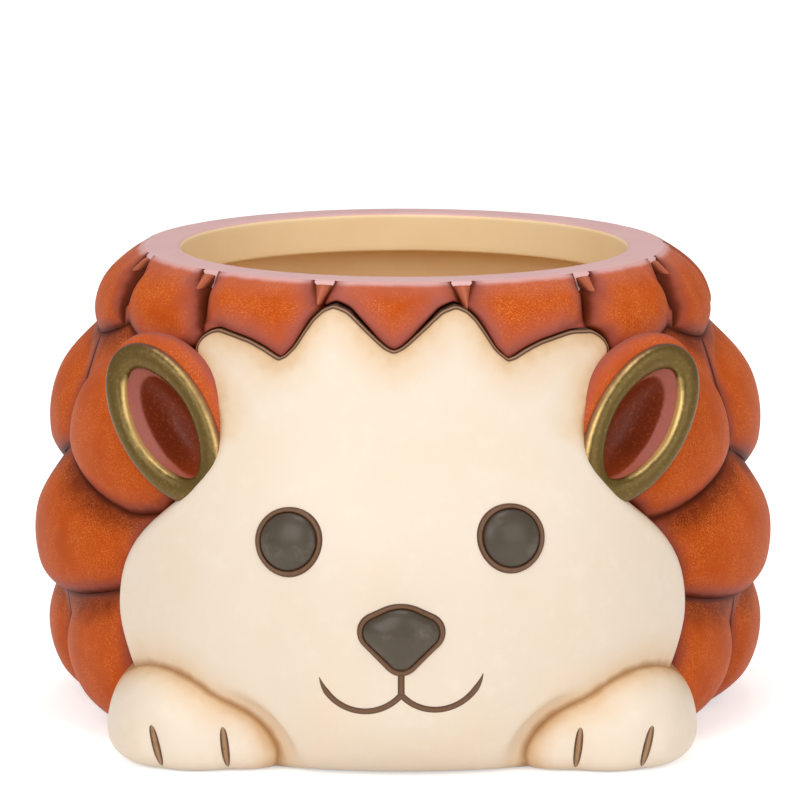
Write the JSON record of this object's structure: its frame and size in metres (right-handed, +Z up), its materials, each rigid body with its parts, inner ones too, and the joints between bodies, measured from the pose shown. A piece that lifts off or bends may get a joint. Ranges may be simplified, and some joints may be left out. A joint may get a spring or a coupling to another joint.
{
  "type": "planter",
  "caption": "Round stoneware planter shaped as a curled-up hedgehog: cream face with paws and gold-edged ears in front, rows of pillow-shaped quills all round, wide open mouth.",
  "frame": {"origin": "middle of the foot ring, on the surface that the pot stands on", "axes": "+Z up along the pot's axis, the face looks along -Y, +X to the right of someone who looks at the face"},
  "size_m": [0.1844, 0.2057, 0.117],
  "materials": {
    "inner_glaze": "satin tan glaze",
    "rim_glaze": "matt mauve pink",
    "quill_glaze": "satin rust orange with darker creases",
    "cream_glaze": "satin cream",
    "dark_glaze": "satin charcoal",
    "brown_line": "matt brown line",
    "gold_glaze": "brushed gold paint",
    "ear_glaze": "satin dark rust"
  },
  "bodies": {
    "root": {"pot_wall": "inner_glaze", "pot_floor": "inner_glaze", "rim_band": "rim_glaze", "rim_tufts": "quill_glaze", "head": "cream_glaze", "nose": "dark_glaze", "nose_edge": "brown_line", "mouth_line": "brown_line", "eye_left": "dark_glaze", "eye_right": "dark_glaze", "eye_ring_left": "brown_line", "eye_ring_right": "brown_line", "ear_left": "quill_glaze", "ear_right": "quill_glaze", "ear_edge_left": "gold_glaze", "ear_edge_right": "gold_glaze", "ear_lining_left": "ear_glaze", "ear_lining_right": "ear_glaze", "paw_left": "cream_glaze", "paw_right": "cream_glaze", "toe_lines_left": "brown_line", "toe_lines_right": "brown_line", "crown_quill_1": "quill_glaze", "crown_quill_2": "quill_glaze", "crown_quill_3": "quill_glaze", "crown_quill_4": "quill_glaze", "crown_quill_5": "quill_glaze", "crown_quill_6": "quill_glaze", "crown_quill_7": "quill_glaze", "crown_quill_8": "quill_glaze", "crown_quill_9": "quill_glaze", "crown_quill_10": "quill_glaze", "crown_quill_11": "quill_glaze", "crown_quill_12": "quill_glaze", "crown_quill_13": "quill_glaze", "crown_quill_14": "quill_glaze", "upper_quill_1": "quill_glaze", "upper_quill_2": "quill_glaze", "upper_quill_3": "quill_glaze", "upper_quill_4": "quill_glaze", "upper_quill_5": "quill_glaze", "upper_quill_6": "quill_glaze", "middle_quill_1": "quill_glaze", "middle_quill_2": "quill_glaze", "middle_quill_3": "quill_glaze", "middle_quill_4": "quill_glaze", "middle_quill_5": "quill_glaze", "lower_quill_1": "quill_glaze", "lower_quill_2": "quill_glaze", "lower_quill_3": "quill_glaze", "lower_quill_4": "quill_glaze", "lower_quill_5": "quill_glaze", "lower_quill_6": "quill_glaze"}
  },
  "joints": []
}
